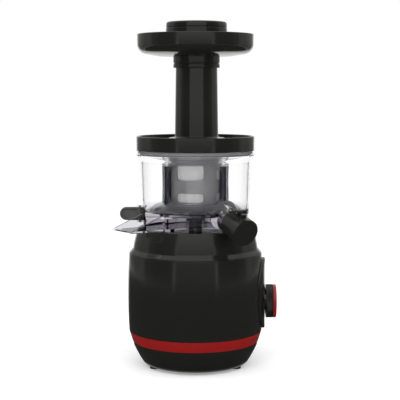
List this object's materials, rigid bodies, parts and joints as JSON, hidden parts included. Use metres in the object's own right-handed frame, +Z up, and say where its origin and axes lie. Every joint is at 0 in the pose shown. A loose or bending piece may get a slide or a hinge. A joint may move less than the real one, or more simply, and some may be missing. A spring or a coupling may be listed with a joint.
{
  "type": "cold press juicer",
  "caption": "Upright slow juicer with a round motor base, a clear bowl with spout and pulp chute, an auger, a feed tube, a hopper tray and a pusher.",
  "frame": {"origin": "middle of the motor base at the height of the surface it stands on", "axes": "+Z up, -Y towards the front, +X towards the knob; the spout is at the front right and the pulp chute at the front left"},
  "size_m": [0.1969, 0.1884, 0.4193],
  "materials": {
    "black_plastic": "satin black moulded plastic",
    "red_plastic": "satin red moulded plastic",
    "clear_plastic": "clear moulded plastic",
    "smoke_plastic": "smoky clear moulded plastic",
    "grey_plastic": "grey moulded plastic",
    "white_plastic": "natural nylon",
    "silicone": "black silicone",
    "foot_rubber": "black rubber",
    "steel": "machined steel",
    "bracket_aluminium": "die cast",
    "copper": "enamelled copper wire",
    "inner_plastic": "plain moulded plastic",
    "board_green": "coated laminate"
  },
  "bodies": {
    "base": {"rubber_feet": "foot_rubber", "bottom_shell": "black_plastic", "red_trim_ring": "red_plastic", "motor_housing": "black_plastic", "base_screws": "steel", "top_cover": "black_plastic", "interlock_switch": "inner_plastic", "rotary_switch": "inner_plastic", "switch_nut": "steel", "gearbox_base_plate": "steel", "gearbox_cover_plate": "steel", "gearbox_posts": "steel", "first_gear_axle": "steel", "second_gear_axle": "steel", "output_bearing": "steel", "deck_shaft_seal": "silicone", "motor_stator": "steel", "motor_windings": "copper", "lower_motor_bracket": "bracket_aluminium", "upper_motor_bracket": "bracket_aluminium", "motor_bearings": "steel", "motor_bolts": "steel", "board_spacers": "inner_plastic", "circuit_board": "board_green", "run_capacitor": "inner_plastic", "cable_gland": "foot_rubber"},
    "rotor": {"motor_pinion": "steel", "motor_shaft": "steel", "motor_rotor": "steel", "cooling_fan": "white_plastic"},
    "first_gear": {"first_reduction_gear": "white_plastic"},
    "second_gear": {"second_reduction_gear": "white_plastic"},
    "drive": {"output_gear": "white_plastic", "drive_shaft": "steel"},
    "plunger": {"interlock_plunger": "inner_plastic"},
    "knob": {"control_knob": "black_plastic", "knob_ring": "red_plastic", "knob_spindle": "steel"},
    "bowl": {"juice_bowl": "clear_plastic", "bowl_shaft_seal": "silicone", "idler_gear_pin": "steel", "spout_collar": "black_plastic", "cap_hinge_pin": "steel", "lever_pin": "steel", "strainer_frame": "grey_plastic", "strainer_screen": "steel"},
    "idler": {"idler_gear": "white_plastic"},
    "brush": {"brush_cage": "smoke_plastic", "brush_wipers": "silicone"},
    "auger": {"auger": "grey_plastic", "auger_gear": "steel"},
    "cap": {"juice_cap": "black_plastic", "cap_seal": "silicone"},
    "lever": {"pulp_lever": "black_plastic"},
    "lid": {"lid": "black_plastic", "lid_seal": "silicone"},
    "tray": {"hopper_tray": "black_plastic"},
    "pusher": {"pusher_cap": "black_plastic", "pusher_stem": "black_plastic"}
  },
  "joints": [
    {"name": "motor_spin", "type": "hinge", "parent": "base", "child": "rotor", "pos_m": [0, 0, 0.05], "axis": [0, 0, 1], "continuous": true},
    {"name": "first_gear_spin", "type": "hinge", "parent": "base", "child": "first_gear", "pos_m": [0, 0.0301, 0.09], "axis": [0, 0, 1], "continuous": true},
    {"name": "second_gear_spin", "type": "hinge", "parent": "base", "child": "second_gear", "pos_m": [-0.02741, 0.01245, 0.09], "axis": [0, 0, 1], "continuous": true},
    {"name": "drive_spin", "type": "hinge", "parent": "base", "child": "drive", "pos_m": [0, 0, 0.12], "axis": [0, 0, 1], "continuous": true},
    {"name": "plunger_press", "type": "slide", "parent": "base", "child": "plunger", "axis": [0, 0, -1], "range_m": [0, 0.002], "stiffness_N_per_m": 150, "springref_m": -0.002},
    {"name": "knob_turn", "type": "hinge", "parent": "base", "child": "knob", "pos_m": [0.088, 0, 0.0785], "axis": [1, 0, 0], "range_deg": [-45, 45]},
    {"name": "bowl_lift", "type": "slide", "parent": "base", "child": "bowl", "axis": [0, 0, 1], "range_m": [0, 0.06]},
    {"name": "idler_spin", "type": "hinge", "parent": "bowl", "child": "idler", "pos_m": [0.01002, 0.01736, 0.195], "axis": [0, 0, 1], "continuous": true},
    {"name": "brush_spin", "type": "hinge", "parent": "bowl", "child": "brush", "pos_m": [0, 0, 0.2], "axis": [0, 0, 1], "continuous": true},
    {"name": "auger_spin", "type": "hinge", "parent": "bowl", "child": "auger", "pos_m": [0, 0, 0.21], "axis": [0, 0, 1], "continuous": true},
    {"name": "cap_flip", "type": "hinge", "parent": "bowl", "child": "cap", "pos_m": [0.05245, -0.08394, 0.19751], "axis": [-0.848, -0.5299, 0], "range_deg": [0, 95]},
    {"name": "lever_turn", "type": "hinge", "parent": "bowl", "child": "lever", "pos_m": [-0.06867, 0.0146, 0.185], "axis": [0, 0, 1], "range_deg": [-35, 0]},
    {"name": "lid_lift", "type": "slide", "parent": "bowl", "child": "lid", "axis": [0, 0, 1], "range_m": [0, 0.05]},
    {"name": "tray_lift", "type": "slide", "parent": "lid", "child": "tray", "axis": [0, 0, 1], "range_m": [0, 0.03]},
    {"name": "pusher_slide", "type": "slide", "parent": "tray", "child": "pusher", "axis": [0, 0, 1], "range_m": [0, 0.12]}
  ],
  "couplings": [
    {"joint": "first_gear_spin", "follows": "motor_spin", "ratio": -0.25},
    {"joint": "second_gear_spin", "follows": "motor_spin", "ratio": 0.075},
    {"joint": "drive_spin", "follows": "motor_spin", "ratio": -0.032143},
    {"joint": "auger_spin", "follows": "motor_spin", "ratio": -0.032143},
    {"joint": "idler_spin", "follows": "motor_spin", "ratio": 0.032143},
    {"joint": "brush_spin", "follows": "motor_spin", "ratio": 0.010714}
  ]
}
